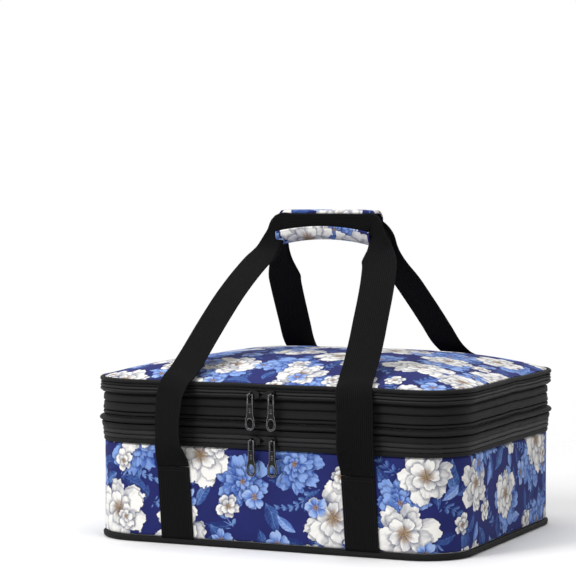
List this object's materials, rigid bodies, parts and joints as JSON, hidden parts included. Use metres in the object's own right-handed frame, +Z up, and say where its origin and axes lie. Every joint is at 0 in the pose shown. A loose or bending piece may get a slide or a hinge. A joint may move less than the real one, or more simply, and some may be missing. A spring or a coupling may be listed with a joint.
{
  "type": "casserole carrier",
  "caption": "Soft insulated box carrier with a hinged zip lid, a zip-out expansion gusset and two webbing handles that meet in a padded grip.",
  "frame": {"origin": "centre of the footprint on the floor", "axes": "+X along the length, right as seen from the front; -Y the front with the zip pullers; +Z up"},
  "size_m": [0.43, 0.379, 0.3528],
  "materials": {
    "floral_fabric": null,
    "black_fabric": "plain black polyester weave",
    "black_webbing": "ribbed black polypropylene webbing",
    "zip_tape": "black woven zip tape with a covered coil",
    "black_metal": "glossy black enamelled zinc",
    "foil_lining": "silver foil on a film, slightly creased",
    "foam": "white closed cell insulating foam",
    "stiff_board": "grey polyethylene board"
  },
  "bodies": {
    "lower_body": {"base_cover": "black_fabric", "base_binding": "black_fabric", "base_board": "stiff_board", "base_foam": "foam", "lower_shell": "floral_fabric", "lower_foam": "foam", "lower_lining": "foil_lining", "lower_trim": "black_fabric", "lower_zip_bottom_tape": "zip_tape", "gusset_lower": "floral_fabric", "front_strap_base_left": "black_webbing", "front_strap_base_right": "black_webbing", "back_strap_base_left": "black_webbing", "back_strap_base_right": "black_webbing"},
    "rim": {"lower_zip_top_tape": "zip_tape", "rim_roll": "black_fabric", "rim_band": "black_fabric", "rim_foam": "foam", "rim_lining": "foil_lining", "gusset_upper": "floral_fabric", "upper_zip_bottom_tape": "zip_tape", "lid_hinge_strip": "black_fabric"},
    "lid": {"upper_zip_top_tape": "zip_tape", "lid_band": "black_fabric", "lid_piping": "black_fabric", "lid_cover": "floral_fabric", "lid_foam": "foam", "lid_lining": "foil_lining"},
    "front_risers": {"front_strap_riser_left": "black_webbing", "front_strap_riser_right": "black_webbing"},
    "front_handle": {"front_strap_leg_left": "black_webbing", "front_strap_leg_right": "black_webbing", "front_grip_strap": "black_webbing"},
    "back_risers": {"back_strap_riser_left": "black_webbing", "back_strap_riser_right": "black_webbing"},
    "back_handle": {"back_strap_leg_left": "black_webbing", "back_strap_leg_right": "black_webbing", "back_grip_strap": "black_webbing", "grip_cover": "floral_fabric", "grip_pad": "foam", "grip_fastener": "black_fabric"},
    "grip_flap": {"grip_flap": "floral_fabric"},
    "upper_slider_left": {"upper_slider_left": "black_metal"},
    "upper_puller_left": {"upper_puller_left": "black_metal"},
    "upper_slider_right": {"upper_slider_right": "black_metal"},
    "upper_puller_right": {"upper_puller_right": "black_metal"},
    "lower_slider_left": {"lower_slider_left": "black_metal"},
    "lower_puller_left": {"lower_puller_left": "black_metal"},
    "lower_slider_right": {"lower_slider_right": "black_metal"},
    "lower_puller_right": {"lower_puller_right": "black_metal"}
  },
  "joints": [
    {"name": "expand", "type": "slide", "parent": "lower_body", "child": "rim", "axis": [0, 0, 1], "range_m": [0, 0.051], "deforming": ["gusset_lower"]},
    {"name": "lid_open", "type": "hinge", "parent": "rim", "child": "lid", "pos_m": [0, 0.17535, 0.1748], "axis": [-1, 0, 0], "range_deg": [0, 100], "deforming": ["front_strap_leg_left", "front_strap_leg_right"]},
    {"name": "front_strap_lean", "type": "hinge", "parent": "lower_body", "child": "front_risers", "pos_m": [0, -0.1723, 0.083], "axis": [1, 0, 0], "range_deg": [0, 28]},
    {"name": "front_handle_fall", "type": "hinge", "parent": "front_risers", "child": "front_handle", "pos_m": [0, -0.1895, 0.1668], "axis": [1, 0, 0], "range_deg": [0, 135]},
    {"name": "back_strap_lean", "type": "hinge", "parent": "lower_body", "child": "back_risers", "pos_m": [0, 0.1723, 0.083], "axis": [-1, 0, 0], "range_deg": [0, 28]},
    {"name": "back_handle_fall", "type": "hinge", "parent": "back_risers", "child": "back_handle", "pos_m": [0, 0.1895, 0.1668], "axis": [-1, 0, 0], "range_deg": [0, 135]},
    {"name": "grip_flap_open", "type": "hinge", "parent": "back_handle", "child": "grip_flap", "pos_m": [0, -0.00815, 0.3127], "axis": [1, 0, 0], "range_deg": [0, 100]},
    {"name": "upper_zip_left", "type": "slide", "parent": "rim", "child": "upper_slider_left", "axis": [-1, 0, 0], "range_m": [0, 0.14]},
    {"name": "upper_puller_left_lift", "type": "hinge", "parent": "upper_slider_left", "child": "upper_puller_left", "pos_m": [-0.01205, -0.17945, 0.1634], "axis": [-1, 0, 0], "range_deg": [0, 140]},
    {"name": "upper_zip_right", "type": "slide", "parent": "rim", "child": "upper_slider_right", "axis": [1, 0, 0], "range_m": [0, 0.14]},
    {"name": "upper_puller_right_lift", "type": "hinge", "parent": "upper_slider_right", "child": "upper_puller_right", "pos_m": [0.01205, -0.17945, 0.1634], "axis": [-1, 0, 0], "range_deg": [0, 140]},
    {"name": "lower_zip_left", "type": "slide", "parent": "lower_body", "child": "lower_slider_left", "axis": [-1, 0, 0], "range_m": [0, 0.062]},
    {"name": "lower_puller_left_lift", "type": "hinge", "parent": "lower_slider_left", "child": "lower_puller_left", "pos_m": [-0.01205, -0.17665, 0.1148], "axis": [-1, 0, 0], "range_deg": [0, 140]},
    {"name": "lower_zip_right", "type": "slide", "parent": "lower_body", "child": "lower_slider_right", "axis": [1, 0, 0], "range_m": [0, 0.062]},
    {"name": "lower_puller_right_lift", "type": "hinge", "parent": "lower_slider_right", "child": "lower_puller_right", "pos_m": [0.01205, -0.17665, 0.1148], "axis": [-1, 0, 0], "range_deg": [0, 140]}
  ],
  "couplings": [
    {"joint": "front_strap_lean", "follows": "expand", "rad_per_m": 9.5},
    {"joint": "back_strap_lean", "follows": "expand", "rad_per_m": 9.5},
    {"joint": "front_handle_fall", "follows": "lid_open", "ratio": 1.35},
    {"joint": "back_handle_fall", "follows": "lid_open", "ratio": 1.35}
  ]
}
